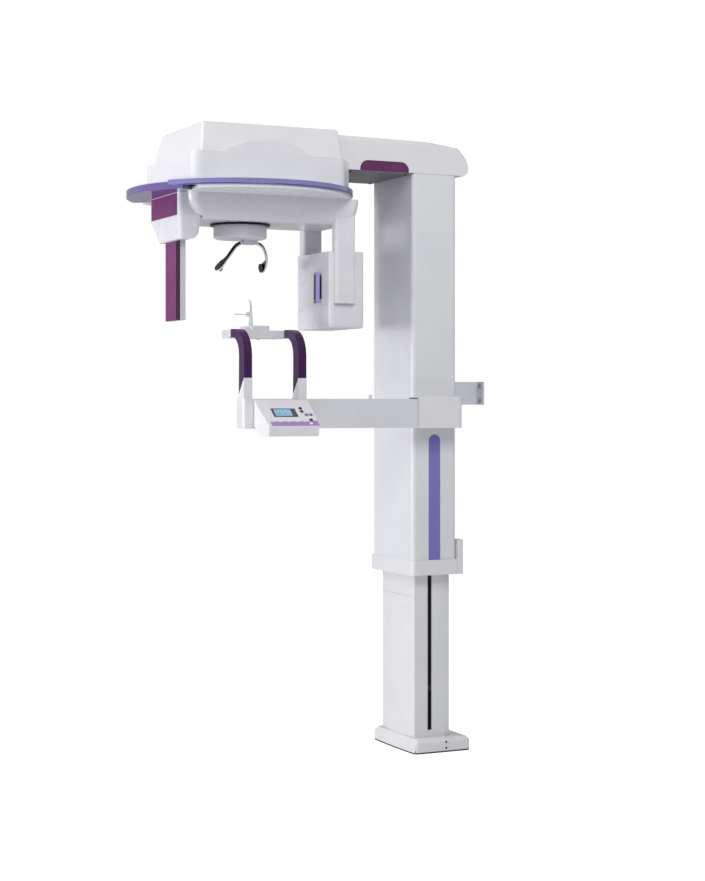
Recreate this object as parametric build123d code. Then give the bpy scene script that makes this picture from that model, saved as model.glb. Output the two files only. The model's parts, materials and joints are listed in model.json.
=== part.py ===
from build123d import *
import math
import os

# Millimetres. The origin is on the floor, at the centre of the base's anchor holes.
# +Z is up and +Y points to the wall. The head hangs out over the patient towards -Y.
# The patient stands on the -X side and faces +X.

# Clearances
touch_gap = 0.3          # between seated pieces of different shape
running_gap = 0.05       # radial clearance of shafts in their bores
seam_gap = 0.6           # visible seams between covers

# Base
base_width = 338
base_depth = 224
base_height = 50
base_wall = 3
base_chamfer = 14
base_bow = 5
base_split = 25          # Y of the seam between the front and the rear cover
seal_height = 5
base_corner = 18
plate_width = 320
plate_depth = 196
plate_thickness = 12
anchor_spacing_x = 290
anchor_spacing_y = 150
anchor_radius = 6.5

# Fixed column
column_width = 254
column_front = -90
column_back = 27
column_wall = 5
column_top = 1440
front_cover_edge = 3
front_cover_bow = 6
front_cover_seam = 551
slot_width = 16
slot_centre = -33
slot_bottom = 75
slot_top = 1400
brush_width = 5
brush_depth = 4
channel_width = 236
channel_depth = 23
channel_wall = 2.5
channel_drop = 8         # the channel ends this far below the column's top

# Lift drive
screw_radius = 12.5
journal_radius = 10
motor_height = 170
motor_size = 84
lower_bearing_z = 215
upper_bearing_z = 1404
bearing_thickness = 15
nut_size = 60
nut_height = 50
nut_z = 860
crossbar_thickness = 5
motor_corner = 10
screw_tail = 6           # journal left above the upper bearing

# Carriage and moving column
frame_half_width = 145
frame_front = -108
frame_back = 40
frame_wall = 5
shoe_height = 60
shoe_lower_z = 690
shoe_upper_z = 1160
shoe_tracks = ((-78, -50), (-12, 16))    # Y from and to, either side of the slot
shell_width = 320
shell_front = -117
shell_back = 58
shell_wall = 3
shell_bow = 4
shell_corner = 16
shell_return = 30
shell_top = 2043
collar_bottom = 628
collar_height = 53
collar_margin = 9
collar_bow = 6
collar_front_lip = 5
collar_room = 4          # clearance round the fixed column
ear_depth = 22
ear_height = 70
stripe_width = 45
stripe_top = 1124
stripe_centre = -31
stripe_proud = 1.5

# Wall bracket
bracket_bottom = 1229
bracket_height = 82
bracket_half_width = 110
bracket_wall = 5
wall_plane = 172
flange_width = 48
wall_hole_radius = 4.5
wall_hole_spacing = 52
wall_hole_inset = 24
washer_radius = 9
washer_thickness = 2

# Beam
beam_half_width = 162
beam_wall = 4
beam_rear = 105
beam_rear_top = 2142
beam_mid_top = 2157
beam_front_top = 2162
beam_corner = 18
beam_heel = ((18, 0), (2, 12), (0, 30), (10, 70))    # set back from the rear, height over the bottom
beam_shoulder = 37
beam_crown_y = -49
beam_rear_opening = 8
beam_head_opening = 10
gusset_front = -322
gusset_rear = -132
gusset_top = 2079
gusset_corner = 30
liner_thickness = 4
liner_margin = 8
liner_rise = 6
underside_thickness = 5
underside_gap = 2
beam_frame_half_width = 110
beam_frame_height = 70
beam_frame_front = -880

# Head
axis_y = -705            # vertical axis of the rotating arm
head_front = -967
head_half_width = 245
head_rear = -367
head_corner = 34
head_room_corner = 30
head_shoulder = 58
head_neck_margin = 6
crease_z = 2065
skirt_bottom = 1968
cover_wall = 4
top_front = -939
top_rear = -424
top_half_width_low = 243
top_half_width_high = 201
head_top = 2170
top_front_high = -918
head_edge_radius = 9
dome_radius = 392
dome_centre_z = 1802.5
dome_top = 2150
ring_radius = 390
ring_width = 15
ring_bottom = 1948
ring_height = 19.4
disc_thickness = 12
hub_opening = 135
cover_notch = 3          # room round the beam frame in the top cover

# Rotating arm
arm_top = 1948
arm_bottom = 1852
arm_flange_height = 10
arm_half_width_top = 185
arm_half_width_low = 126
arm_lip = 8
arm_plate_inset = 6
bowl_front_pull = 60
bowl_front_swell = 52
bowl_rear_pull = 30
bowl_corner = 34
bowl_levels = (0.06, 0.16, 0.36, 0.66, 1)
arm_front = -960
arm_rear = -325
arm_wall = 4
hub_radius = 60
hub_rim_radius = 120
hub_rim_height = 20
hub_top = 2030
hub_rim_drop = 12
stem_radius = 32
stem_collar = 20
arm_bore = 42
roller_radius = 42
roller_height = 18
arm_motor_radius = 30
arm_motor_shaft = 6
sensor_front = -982
sensor_back = -898
sensor_bottom = 1785
sensor_half_width = 147
sensor_corner = 16
sensor_taper = 38
sensor_lean = 17
sensor_heel = ((30, 0), (16, 4), (5, 15), (0, 32))    # set back from the rear, height over the bottom
panel_bottom_z = 1862
panel_top_z = 1936
panel_thickness = 3
panel_margin = 16
panel_corner = 8
bar_half_width = 70
bar_front = -952
bar_back = -930
bar_bottom = 1515
bar_tongue = 30          # length held in the housing
face_thickness = 3
visor_angle = 31
visor_end_gap = 0.05
visor_low_angle = 39.5
visor_bottom = 1937
visor_top = 1961
tube_half_width = 143
tube_front = -430
tube_back = -296
tube_bottom = 1495
tube_top = 1760
tube_corner = 16
tube_low_edge = 8
tube_wall = 6
groove_width = 1.4
groove_depth = 1.2
front_groove_z = 1690
low_groove_z = 1576
strut_inner = 119
strut_outer = 161
strut_front = -414
strut_back = -338
strut_top = 1900
strut_bottom = 1580
strut_corner = 12
strut_wall = 5
collimator_width = 24
collimator_offset = 62
collimator_depth = 20
collimator_bottom = 1584
collimator_height = 107
collimator_bevel = 4
xray_tube_radius = 28
xray_tube_length = 150
xray_clamp_half = 20
xray_clamp_bite = 8
xray_clamp_span = (20, 80)

# Head support and temple arms
disc_radius = 104
support_radius = 92
support_bottom = 1801
facet_tilt = -14
facet_reach = 46
facet_depth = 14
support_edge = 8
support_top = 1845
disc_rise = 6
patient_y = -665         # the patient's middle plane
temple_x = -12
temple_z = 1794
temple_block = 30
temple_block_height = 20
temple_pin_radius = 4
temple_pin_offset = 18
temple_boss_radius = 5.7
temple_cheek = 5
cheek_half_depth = 24
web_half_depth = 12
temple_outward = (0, 0.35)     # X and Z of the band's outward face, Y being 1
temple_steps = ((0, 20, 0), (0, 36, -6), (-2, 51, -14), (-10, 64, -36),
                (-22, 73, -54), (-50, 80, -72), (-88, 83, -84))
temple_width = 14
temple_thickness = 5
pad_height = 46
pad_length = 34
pad_thickness = 5
pad_stand_off = 4
pad_stud_radius = 5

# Patient arm, handles and chin rest
patient_arm_depth = 74.5
patient_arm_inner = shell_width / 2 + 0.5
patient_arm_outer = patient_arm_inner + patient_arm_depth
patient_arm_front = -786
patient_arm_split = -135
patient_arm_rear = 42
patient_arm_bottom = 1150
patient_arm_top = 1250
patient_arm_corner = 14
patient_arm_wall = 5
patient_arm_nose = 20
end_cover_extra = 5
end_cover_corner = 18
end_cover_edge = 6
handle_spacing = 198
handle_width = 29
handle_outer = patient_arm_outer - 15
handle_depth = 46
handle_bend = 92
handle_top_depth = 28
handle_inner_shift = 8
handle_arc_steps = 6
handle_base_flare = 9
handle_top = 1486
handle_end = 97
grip_bottom_outer = 1320
grip_bottom_inner = 1262
rest_length = 80
bridge_front = 96
bridge_back = 22
bridge_bottom = 1456
bridge_top = 1484
cup_half_width = 36
cup_front = 92
cup_back = -26
cup_top = 1500
cup_stem_radius = 8
cup_stem_drop = 3
cup_corner = 14
tang_thickness = 8
tang_half_width = 5
tang_rise = 7
bite_pin_radius = 2.5
bite_pin_drop = 6
bite_slot_rear = 6
bite_x = 0
bite_base_radius = 13
bite_rod_radius = 3.4
bite_top = 1592
bite_cone_height = 48
bite_cone_lift = 5
bite_tip_length = 22
bite_tip_reach = 8
bite_tip_drop = 5
bite_clamp = (30, 4, 9, 30, 46)          # X from and to, half width, height from and to
bite_lever = (18, 32, 38, 2.2, 50)       # X, Y, height, radius, length

# Control panel
panel_start_x = patient_arm_outer + 5
panel_start_z = 1247
panel_end_x = panel_start_x + 115
panel_end_z = 1160
panel_lip_bottom = 1126
panel_left = -750
panel_right = -557
panel_taper = 8
screen_top = 48
screen_bottom = 95
screen_left = -709
screen_right = -621
key_radius = 6
key_depth = 4
key_proud = 2
key_places = {"key_up": (49, -601), "key_down": (66, -601), "key_left": (84, -590),
              "key_right": (84, -574), "key_mode": (112, -583), "key_expose": (132, -590)}
key_pocket_depth = 10
lip_chamfer = (3, 14, 60)                # front step, bottom step, rear start of the flat
arm_side_step = 3
arm_side_foot = 10
wedge_start = 20
wedge_margin = 10
screen_depth = 1.5
screen_drop = 1.25
screen_fit = 0.6
screen_recess = 4


def block(x0, x1, y0, y1, z0, z1):
    middle = ((x0 + x1) / 2, (y0 + y1) / 2, (z0 + z1) / 2)
    return Pos(*middle) * Box(x1 - x0, y1 - y0, z1 - z0)


def post(x, y, z0, z1, radius):
    return Pos(x, y, (z0 + z1) / 2) * Cylinder(radius, z1 - z0)


def prism(points, z0, z1):
    outline = make_face(Polyline(*points, close=True))
    return Pos(0, 0, z0) * extrude(outline, z1 - z0, dir=(0, 0, 1))


def side_prism(points, x0, x1):
    # points are (y, z)
    outline = make_face(Polyline(*[(x0, y, z) for y, z in points], close=True))
    return extrude(outline, x1 - x0, dir=(1, 0, 0))


def front_prism(points, y0, y1):
    # points are (x, z)
    outline = make_face(Polyline(*[(x, y0, z) for x, z in points], close=True))
    return extrude(outline, y1 - y0, dir=(0, 1, 0))


def bowed_prism(half_width, front, back, bow, z0, z1):
    arc = ThreePointArc((-half_width, front), (0, front - bow), (half_width, front))
    sides = Polyline((half_width, front), (half_width, back), (-half_width, back), (-half_width, front))
    return Pos(0, 0, z0) * extrude(make_face([arc, sides]), z1 - z0, dir=(0, 0, 1))


def round_uprights(solid, radius):
    return fillet(solid.edges().filter_by(Axis.Z), radius)


def base_outline(inset, top, chamfer_size):
    half_width = base_width / 2 - inset
    half_depth = base_depth / 2 - inset
    solid = bowed_prism(half_width, -half_depth, half_depth, base_bow, seal_height, top)
    solid = round_uprights(solid, base_corner - inset)
    return chamfer(solid.edges().group_by(Axis.Z)[-1], chamfer_size)


def column_room(extra):
    front = column_front - front_cover_edge - front_cover_bow - extra
    back = column_back + channel_depth + extra
    half_width = column_width / 2 + extra
    return block(-half_width, half_width, front, back, 0, column_top)


def make_base(parts):
    plate = block(-plate_width / 2, plate_width / 2, -plate_depth / 2, plate_depth / 2, 0, plate_thickness)
    for x in (-anchor_spacing_x / 2, anchor_spacing_x / 2):
        for y in (-anchor_spacing_y / 2, anchor_spacing_y / 2):
            plate -= post(x, y, 0, plate_thickness, anchor_radius)
    parts["base_plate"] = plate

    cover = base_outline(0, base_height, base_chamfer)
    cover -= base_outline(base_wall, base_height - base_wall, base_chamfer - 1) - block(
        -base_width, base_width, -base_depth, base_depth, base_height, base_height * 2)
    cover -= block(-base_width / 2 + base_wall + 1, base_width / 2 - base_wall - 1,
                   -base_depth / 2 + base_wall + 1, base_depth / 2 - base_wall - 1, 0, seal_height + 10)
    cover -= column_room(touch_gap)
    half_seam = seam_gap / 2
    far = base_width
    parts["base_front_cover"] = cover & block(-far, far, -far, base_split - half_seam, 0, base_height)
    parts["base_rear_cover"] = cover & block(-far, far, base_split + half_seam, far, 0, base_height)

    outer = bowed_prism(base_width / 2 - 1, 1 - base_depth / 2, base_depth / 2 - 1, base_bow, 0, seal_height)
    outer = round_uprights(outer, base_corner - 1)
    room = block(-plate_width / 2 - 1, plate_width / 2 + 1, -plate_depth / 2 - 1, plate_depth / 2 + 1,
                 0, seal_height)
    parts["base_seal"] = outer - room


def make_fixed_column(parts):
    half_width = column_width / 2
    tube = block(-half_width, half_width, column_front, column_back, plate_thickness, column_top)
    tube -= block(column_wall - half_width, half_width - column_wall, column_front + column_wall,
                  column_back - column_wall, plate_thickness, column_top)
    slot_low = slot_centre - slot_width / 2
    slot_high = slot_centre + slot_width / 2
    tube -= block(-half_width, half_width, slot_low, slot_high, slot_bottom, slot_top)
    parts["inner_column"] = tube

    lower = bowed_prism(half_width, column_front - front_cover_edge, column_front, front_cover_bow,
                        plate_thickness, front_cover_seam - seam_gap)
    upper = bowed_prism(half_width, column_front - front_cover_edge, column_front, front_cover_bow,
                        front_cover_seam, column_top)
    parts["column_front_covers"] = Compound([lower, upper])

    strips = []
    for side in (-1, 1):
        outer_x = side * (half_width - 0.5)
        inner_x = side * (half_width - 0.5 - brush_depth)
        for y0, y1 in ((slot_low, slot_low + brush_width), (slot_high - brush_width, slot_high)):
            strips.append(block(min(inner_x, outer_x), max(inner_x, outer_x), y0, y1, slot_bottom, slot_top))
    parts["slot_brushes"] = Compound(strips)

    channel_back = column_back + channel_depth
    channel = block(-channel_width / 2, channel_width / 2, column_back, channel_back,
                    plate_thickness, column_top - channel_drop)
    channel -= block(channel_wall - channel_width / 2, channel_width / 2 - channel_wall, column_back,
                     channel_back - channel_wall, plate_thickness, column_top - channel_drop)
    parts["rear_channel"] = channel


def make_lift_drive(parts):
    y = slot_centre
    motor = block(-motor_size / 2, motor_size / 2, y - motor_size / 2, y + motor_size / 2,
                  plate_thickness, plate_thickness + motor_height)
    parts["lift_motor"] = round_uprights(motor, motor_corner)

    screw = post(0, y, plate_thickness + motor_height + touch_gap, lower_bearing_z, journal_radius)
    screw += post(0, y, lower_bearing_z, lower_bearing_z + bearing_thickness, journal_radius)
    screw += post(0, y, lower_bearing_z + bearing_thickness + touch_gap, upper_bearing_z - touch_gap,
                  screw_radius)
    screw += post(0, y, lower_bearing_z, upper_bearing_z + bearing_thickness + screw_tail, journal_radius)
    parts["lift_screw"] = screw

    inner_half = column_width / 2 - column_wall
    plates = []
    for z in (lower_bearing_z, upper_bearing_z):
        plate = block(-inner_half, inner_half, column_front + column_wall, column_back - column_wall,
                      z, z + bearing_thickness)
        plates.append(plate - post(0, y, z, z + bearing_thickness, journal_radius + running_gap))
    parts["screw_bearings"] = Compound(plates)

    nut = block(-nut_size / 2, nut_size / 2, y - nut_size / 2, y + nut_size / 2, nut_z, nut_z + nut_height)
    nut -= post(0, y, nut_z, nut_z + nut_height, screw_radius + running_gap)
    half_bar = crossbar_thickness / 2
    reach = frame_half_width - frame_wall
    for side in (-1, 1):
        near = side * (nut_size / 2 - 1)
        far = side * reach
        nut += block(min(near, far), max(near, far), y - half_bar, y + half_bar, nut_z, nut_z + nut_height)
    parts["drive_nut"] = nut


def make_carriage_frame(parts):
    frame_top = shell_top + underside_thickness
    frame_bottom = collar_bottom + collar_height
    outer = block(-frame_half_width, frame_half_width, frame_front, frame_back, frame_bottom, frame_top)
    inner = block(frame_wall - frame_half_width, frame_half_width - frame_wall, frame_front + frame_wall,
                  frame_back, frame_bottom, frame_top)
    upright = outer - inner

    low = frame_top
    high = low + beam_frame_height
    beam = block(-beam_frame_half_width, beam_frame_half_width, beam_frame_front, frame_back, low, high)
    beam -= block(frame_wall - beam_frame_half_width, beam_frame_half_width - frame_wall,
                  beam_frame_front + frame_wall, frame_back - frame_wall, low + frame_wall, high - frame_wall)
    parts["carriage_frame"] = upright + beam

    shoes = []
    reach = frame_half_width - frame_wall
    for side in (-1, 1):
        near = side * (column_width / 2 + touch_gap)
        far = side * reach
        for y0, y1 in shoe_tracks:
            for z in (shoe_lower_z, shoe_upper_z):
                shoes.append(block(min(near, far), max(near, far), y0, y1, z, z + shoe_height))
    parts["guide_shoes"] = Compound(shoes)


def make_moving_column(parts):
    half_width = shell_width / 2
    bottom = collar_bottom + collar_height
    shell = bowed_prism(half_width, shell_front, shell_back, shell_bow, bottom, shell_top)
    shell = round_uprights(shell, shell_corner)
    room = bowed_prism(half_width - shell_wall, shell_front + shell_wall, shell_back - shell_wall,
                       shell_bow, bottom, shell_top)
    shell -= round_uprights(room, shell_corner - shell_wall)
    opening = half_width - shell_return
    shell -= block(-opening, opening, shell_back - shell_wall * 2, shell_back + 1, bottom, shell_top)
    parts["column_shell"] = shell

    wide = half_width + collar_margin
    back = shell_back + collar_margin
    collar = bowed_prism(wide, shell_front - collar_front_lip, back, collar_bow,
                         collar_bottom, collar_bottom + collar_height)
    ear = block(-wide, wide, shell_back + touch_gap, shell_back + ear_depth,
                collar_bottom, collar_bottom + collar_height + ear_height)
    ear -= block(-opening, opening, shell_back, shell_back + ear_depth,
                 collar_bottom + collar_height, collar_bottom + collar_height + ear_height)
    collar = round_uprights(collar, shell_corner)
    collar += ear
    collar -= column_room(collar_room)
    parts["bottom_collar"] = collar

    stripes = []
    for side in (-1, 1):
        near = side * half_width
        far = side * (half_width + stripe_proud)
        low = min(near, far)
        high = max(near, far)
        centre_z = stripe_top - stripe_width / 2
        strip = block(low, high, stripe_centre - stripe_width / 2, stripe_centre + stripe_width / 2,
                      bottom, centre_z)
        cap = Pos((low + high) / 2, stripe_centre, centre_z) * Rot(0, 90, 0) * Cylinder(
            stripe_width / 2, stripe_proud)
        stripes.append(strip + cap)
    parts["side_stripes"] = Compound(stripes)


def make_wall_bracket(parts):
    front = column_back + channel_depth
    z0 = bracket_bottom
    z1 = bracket_bottom + bracket_height
    half = bracket_half_width
    bracket = block(-half, half, front, front + bracket_wall, z0, z1)
    for side in (-1, 1):
        inner = side * (half - bracket_wall)
        outer = side * half
        tip = side * (half + flange_width)
        bracket += block(min(inner, outer), max(inner, outer), front, wall_plane, z0, z1)
        bracket += block(min(inner, tip), max(inner, tip), wall_plane - bracket_wall, wall_plane, z0, z1)
    washers = []
    centre_z = (z0 + z1) / 2
    for x in (-half - wall_hole_inset, half + wall_hole_inset):
        for z in (centre_z - wall_hole_spacing / 2, centre_z + wall_hole_spacing / 2):
            place = Pos(x, wall_plane - bracket_wall / 2, z) * Rot(90, 0, 0)
            bracket -= place * Cylinder(wall_hole_radius, bracket_wall)
            face = wall_plane - bracket_wall - washer_thickness / 2
            washer = Cylinder(washer_radius, washer_thickness) - Cylinder(wall_hole_radius, washer_thickness)
            washers.append(Pos(x, face, z) * Rot(90, 0, 0) * washer)
    parts["wall_bracket"] = bracket
    parts["bracket_washers"] = Compound(washers)


def beam_outline(inset):
    bottom = shell_top + inset
    rear = beam_rear - inset
    front = top_rear + seam_gap
    heel = [(rear - back, bottom + height) for back, height in beam_heel]
    return [(head_rear + seam_gap, bottom)] + heel + [
        (rear - beam_shoulder, beam_rear_top - inset), (beam_crown_y, beam_mid_top - inset),
        (front + inset, beam_front_top - inset), (front + inset, crease_z + seam_gap),
        (head_rear + seam_gap, crease_z + seam_gap)]


def beam_body(inset, corner):
    half_width = beam_half_width - inset
    front = top_rear + seam_gap + inset + 1
    body = side_prism(beam_outline(inset), -half_width, half_width)
    edges = body.edges().filter_by(lambda edge: edge.center().Z > beam_rear_top - beam_shoulder)
    edges = edges.filter_by(lambda edge: abs(edge.center().X) > half_width - 1 and edge.center().Y > front)
    return fillet(edges, corner)


def make_beam(parts):
    casing = beam_body(0, beam_corner) - beam_body(beam_wall, beam_corner - beam_wall)
    half_room = beam_half_width - beam_wall
    casing -= block(-half_room, half_room, head_rear, shell_back - beam_rear_opening,
                    shell_top - 1, shell_top + beam_wall + 1)
    casing -= block(-half_room, half_room, top_rear - beam_head_opening, head_rear + beam_head_opening,
                    crease_z - beam_wall * 6, beam_front_top - beam_wall * 5)
    gusset = side_prism([(gusset_front, shell_top - 1), (gusset_rear, shell_top - 1),
                         (gusset_rear, gusset_top), (gusset_front, gusset_top)],
                        -beam_half_width - 1, beam_half_width + 1)
    upper = gusset.edges().filter_by(Axis.X).group_by(Axis.Z)[-1]
    casing -= fillet(upper, gusset_corner)
    parts["beam_casing"] = casing

    plate_z = shell_top - underside_thickness
    parts["underside_plate"] = block(-half_room, half_room, head_rear + seam_gap,
                                     shell_front - shell_bow - underside_gap,
                                     plate_z + touch_gap, shell_top + touch_gap)
    liners = []
    for side in (-1, 1):
        outer = side * (half_room - touch_gap)
        inner_x = side * (half_room - touch_gap - liner_thickness)
        liners.append(block(min(outer, inner_x), max(outer, inner_x), gusset_front - liner_margin,
                            gusset_rear + liner_margin, shell_top + touch_gap * 2, gusset_top + liner_rise))
    parts["gusset_cover"] = Compound(liners)


def head_plan(half_width, front, rear, z0, z1, taper):
    slim = beam_half_width + head_neck_margin
    points = [(-half_width, front), (half_width, front), (half_width, rear - taper), (slim, rear),
              (-slim, rear), (-half_width, rear - taper)]
    return prism(points, z0, z1)


def make_head_covers(parts):
    skirt = head_plan(head_half_width, head_front, head_rear, skirt_bottom, crease_z, head_shoulder)
    skirt = round_uprights(skirt, head_corner)
    room = head_plan(head_half_width - cover_wall, head_front + cover_wall, head_rear - cover_wall,
                     skirt_bottom, crease_z - cover_wall, head_shoulder - 2)
    skirt -= round_uprights(room, head_room_corner)
    skirt -= block(-top_half_width_high, top_half_width_high, top_front_high, top_rear - cover_wall * 4,
                   skirt_bottom, crease_z)
    skirt -= block(-beam_frame_half_width - 2, beam_frame_half_width + 2, top_rear - cover_wall * 5,
                   head_rear + 1, shell_top + underside_thickness - 2, crease_z)
    parts["head_skirt"] = skirt

    low = Pos(0, (top_front + top_rear) / 2, crease_z + seam_gap) * Rectangle(
        2 * top_half_width_low, top_rear - top_front)
    high = Pos(0, (top_front_high + top_rear) / 2, head_top) * Rectangle(
        2 * top_half_width_high, top_rear - top_front_high)
    shell = loft([low, high])
    corners = shell.edges().filter_by(lambda edge: abs(edge.tangent_at(0).Z) > 0.5)
    shell = fillet(shell.edges().group_by(Axis.Z)[-1] + corners, head_edge_radius)
    wide = Pos(0, (top_front + top_rear) / 2, crease_z + seam_gap) * Rectangle(
        2 * top_half_width_low - 2, top_rear - top_front)
    wide_high = Pos(0, (top_front_high + top_rear) / 2, head_top) * Rectangle(
        2 * top_half_width_low - 2, top_rear - top_front_high)
    dome = Pos(0, axis_y, dome_centre_z) * Sphere(dome_radius)
    dome &= loft([wide, wide_high])
    dome &= block(-top_half_width_low, top_half_width_low, top_front, top_rear, crease_z, dome_top)
    shell += dome
    low_room = Pos(0, (top_front + top_rear) / 2, crease_z + seam_gap) * Rectangle(
        2 * (top_half_width_low - cover_wall), top_rear - top_front - 2 * cover_wall)
    high_room = Pos(0, (top_front_high + top_rear) / 2, head_top - cover_wall) * Rectangle(
        2 * (top_half_width_high - cover_wall), top_rear - top_front_high - 2 * cover_wall)
    shell -= loft([low_room, high_room])
    notch = beam_frame_half_width + cover_notch
    shell -= block(-notch, notch, top_rear - cover_wall * 3, top_rear + 1,
                   crease_z, shell_top + underside_thickness + beam_frame_height + cover_wall)
    parts["head_top_cover"] = shell

    disc = post(0, axis_y, skirt_bottom - disc_thickness, skirt_bottom, ring_radius - ring_width - touch_gap)
    disc -= post(0, axis_y, skirt_bottom - disc_thickness, skirt_bottom, hub_opening)
    parts["head_bottom_plate"] = disc
    ring = post(0, axis_y, ring_bottom, ring_bottom + ring_height, ring_radius)
    ring -= post(0, axis_y, ring_bottom, ring_bottom + ring_height, ring_radius - ring_width)
    parts["ring_trim"] = ring - front_sector(visor_angle, ring_bottom - 1, skirt_bottom)


def make_arm_drive(parts):
    frame_low = shell_top + underside_thickness
    stem = post(0, axis_y, support_top + disc_rise + touch_gap, frame_low, stem_radius)
    stem += post(0, axis_y, hub_top + touch_gap, frame_low, stem_radius + stem_collar)
    parts["support_stem"] = stem

    rim_z = hub_top - hub_rim_drop - hub_rim_height
    hub = post(0, axis_y, arm_top, hub_top, hub_radius)
    hub += post(0, axis_y, rim_z, rim_z + hub_rim_height, hub_rim_radius)
    hub -= post(0, axis_y, arm_top, hub_top, stem_radius + running_gap)
    parts["arm_hub"] = hub

    motor_y = axis_y + hub_rim_radius + roller_radius + touch_gap
    roller = post(0, motor_y, rim_z + 1, rim_z + 1 + roller_height, roller_radius)
    parts["drive_roller"] = roller - post(0, motor_y, rim_z, frame_low, arm_motor_shaft + running_gap)
    motor = post(0, motor_y, rim_z + roller_height + 3, frame_low, arm_motor_radius)
    motor += post(0, motor_y, rim_z + 1, rim_z + roller_height + 4, arm_motor_shaft)
    parts["arm_motor"] = motor


def front_sector(angle, z0, z1):
    reach = 2 * ring_radius
    half = reach * math.tan(math.radians(angle))
    return prism([(0, axis_y), (half, axis_y - reach), (-half, axis_y - reach)], z0, z1)


def arm_section(z, inset):
    flange_z = arm_top - arm_flange_height
    fall = (flange_z - z) / (flange_z - arm_bottom)
    swell = math.sqrt(max(0, 1 - fall * fall))
    top_half = arm_half_width_top - arm_lip
    half_width = arm_half_width_low + (top_half - arm_half_width_low) * swell - inset
    front = arm_front + bowl_front_pull - bowl_front_swell * swell + inset
    rear = arm_rear - bowl_rear_pull + bowl_rear_pull * swell - inset
    return Pos(0, (front + rear) / 2, z) * RectangleRounded(2 * half_width, rear - front, bowl_corner - inset)


def arm_bowl(inset):
    flange_z = arm_top - arm_flange_height
    height = flange_z - arm_bottom
    levels = (inset / height,) + bowl_levels
    return loft([arm_section(arm_bottom + height * level, inset) for level in levels])


def make_arm(parts):
    flange_z = arm_top - arm_flange_height
    plate = post(0, axis_y, flange_z, arm_top, ring_radius - arm_plate_inset)
    plate &= block(-ring_radius, ring_radius, arm_front, arm_rear, flange_z, arm_top)
    casing = arm_bowl(0) + plate - arm_bowl(arm_wall)
    casing -= post(0, axis_y, arm_bottom, arm_top, arm_bore)
    casing -= block(-sensor_half_width - touch_gap, sensor_half_width + touch_gap, arm_front - 1,
                    sensor_back + touch_gap, arm_bottom - 1, flange_z)
    parts["arm_casing"] = casing


def sensor_outline(z, half_width, front, back):
    return Pos(0, (front + back) / 2, z) * RectangleRounded(2 * half_width, back - front, sensor_corner)


def make_sensor(parts):
    top_z = arm_top - arm_flange_height - touch_gap
    upper = loft([sensor_outline(panel_bottom_z, sensor_half_width, sensor_front, sensor_back),
                  sensor_outline(top_z, sensor_half_width, sensor_front, sensor_back)])
    lower = loft([sensor_outline(sensor_bottom, sensor_half_width - sensor_taper, sensor_front + sensor_lean,
                                 sensor_back),
                  sensor_outline(panel_bottom_z, sensor_half_width, sensor_front, sensor_back)])
    heel = [(sensor_back - back, sensor_bottom + height) for back, height in sensor_heel]
    outline = [(sensor_front - 1, panel_bottom_z), (sensor_front - 1, sensor_bottom)] + heel
    lower &= side_prism(outline + [(sensor_back, panel_bottom_z)], -sensor_half_width, sensor_half_width)
    housing = upper + lower
    half_panel = sensor_half_width - panel_margin
    recess = block(-half_panel, half_panel, sensor_front, sensor_front + panel_thickness,
                   panel_bottom_z, panel_top_z)
    panel = block(-half_panel + touch_gap, half_panel - touch_gap, sensor_front,
                  sensor_front + panel_thickness, panel_bottom_z + touch_gap, panel_top_z - touch_gap)
    bar_room = block(-bar_half_width - touch_gap, bar_half_width + touch_gap, bar_front - touch_gap,
                     bar_back + touch_gap, sensor_bottom, sensor_bottom + bar_tongue)
    parts["sensor_housing"] = housing - recess - bar_room
    corners = panel.edges().filter_by(Axis.Y).group_by(Axis.Z)[0]
    parts["sensor_panel"] = fillet(corners, panel_corner)

    bar = block(-bar_half_width, bar_half_width, bar_front, bar_back, bar_bottom, sensor_bottom + bar_tongue)
    strip = block(-bar_half_width, bar_half_width, bar_front, bar_front + face_thickness,
                  bar_bottom, sensor_bottom - 1)
    parts["sensor_bar"] = bar - strip
    parts["sensor_face"] = strip

    plate = post(0, axis_y, visor_bottom, ring_bottom - touch_gap, ring_radius)
    rim = post(0, axis_y, ring_bottom - touch_gap, visor_top, ring_radius)
    rim -= post(0, axis_y, ring_bottom - touch_gap, visor_top, ring_radius - ring_width + touch_gap)
    rim &= front_sector(visor_angle - visor_end_gap, visor_bottom, visor_top)
    visor = (plate & front_sector(visor_low_angle, visor_bottom, visor_top)) + rim
    visor -= block(-ring_radius, ring_radius, arm_front - touch_gap, axis_y, visor_bottom, visor_top + 1)
    half_housing = sensor_half_width + touch_gap
    visor -= block(-half_housing, half_housing, sensor_front - touch_gap, arm_front,
                   visor_bottom - 1, arm_top - arm_flange_height)
    parts["visor"] = visor


def make_tube_strut(side):
    strut = block(min(side * strut_inner, side * strut_outer), max(side * strut_inner, side * strut_outer),
                  strut_front, strut_back, strut_bottom, strut_top)
    strut = fillet(strut.edges().filter_by(Axis.Z), strut_corner)
    near = side * (strut_inner + strut_wall)
    far = side * (strut_outer - strut_wall)
    hollow = block(min(near, far), max(near, far), strut_front + strut_wall, strut_back - strut_wall,
                   tube_top - strut_wall, strut_top)
    return strut - hollow - arm_bowl(0)


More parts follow.
